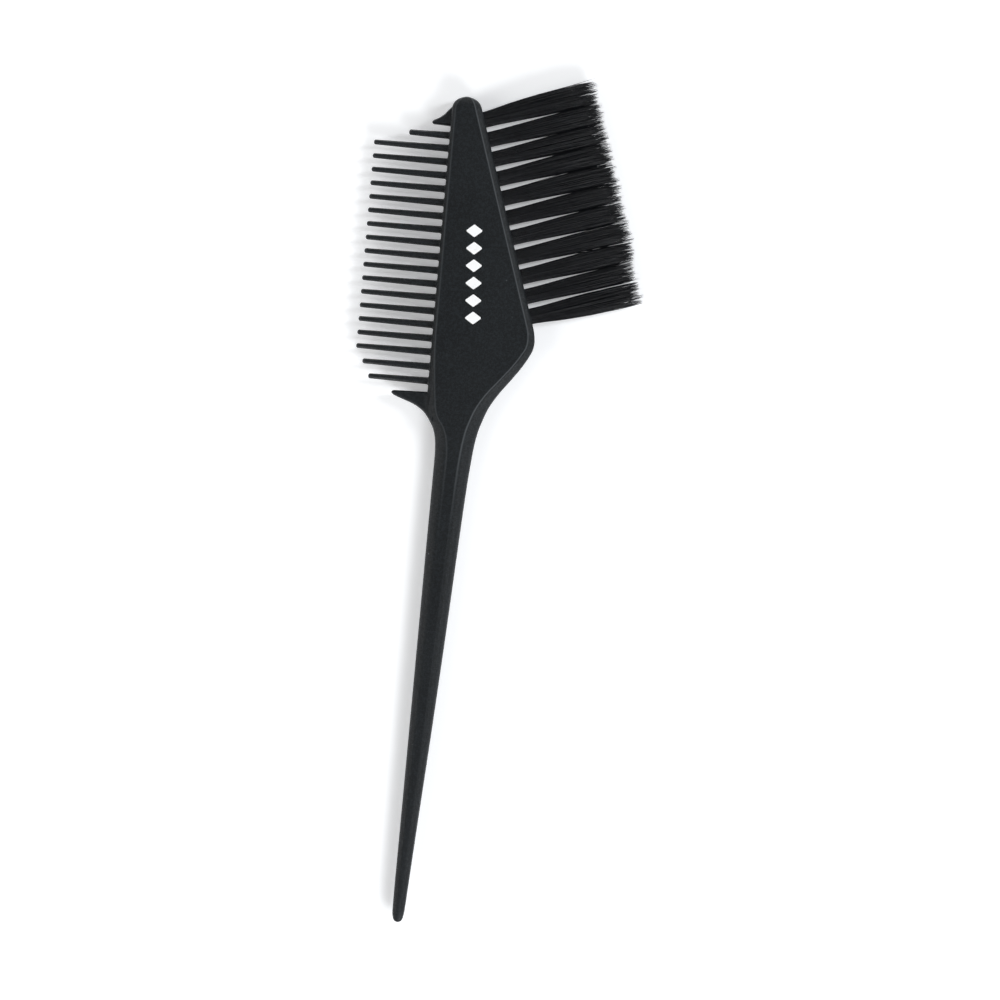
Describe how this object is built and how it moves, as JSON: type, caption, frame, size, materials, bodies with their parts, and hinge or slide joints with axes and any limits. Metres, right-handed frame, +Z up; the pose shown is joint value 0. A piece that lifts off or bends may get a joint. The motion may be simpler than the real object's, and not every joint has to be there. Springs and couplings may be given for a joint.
{
  "type": "tint brush",
  "caption": "Black hair tint brush: tapered tail handle, flat wedge head, a straight comb along one side and a slanted row of feathered bristle tufts along the other.",
  "frame": {"origin": "on the flat underside, below the middle of the head, halfway between the comb's spine and the tufted edge", "axes": "+Z up, square to the flat of the head; +Y along the handle from the tail to the nose of the head; +X towards the bristles, -X towards the comb"},
  "size_m": [0.0747, 0.2272, 0.0076],
  "materials": {
    "moulding": "black injection-moulded plastic with a fine spark-eroded texture",
    "bristles": "black nylon filaments with feathered tips, semi-matt",
    "anchor_steel": "flat drawn wire, cut ends"
  },
  "bodies": {
    "root": {"handle_and_comb": "moulding", "bristle_tuft_01": "bristles", "bristle_tuft_02": "bristles", "bristle_tuft_03": "bristles", "bristle_tuft_04": "bristles", "bristle_tuft_05": "bristles", "bristle_tuft_06": "bristles", "bristle_tuft_07": "bristles", "bristle_tuft_08": "bristles", "bristle_tuft_09": "bristles", "bristle_tuft_10": "bristles", "bristle_tuft_11": "bristles", "tuft_anchor_01": "anchor_steel", "tuft_anchor_02": "anchor_steel", "tuft_anchor_03": "anchor_steel", "tuft_anchor_04": "anchor_steel", "tuft_anchor_05": "anchor_steel", "tuft_anchor_06": "anchor_steel", "tuft_anchor_07": "anchor_steel", "tuft_anchor_08": "anchor_steel", "tuft_anchor_09": "anchor_steel", "tuft_anchor_10": "anchor_steel", "tuft_anchor_11": "anchor_steel"}
  },
  "joints": []
}
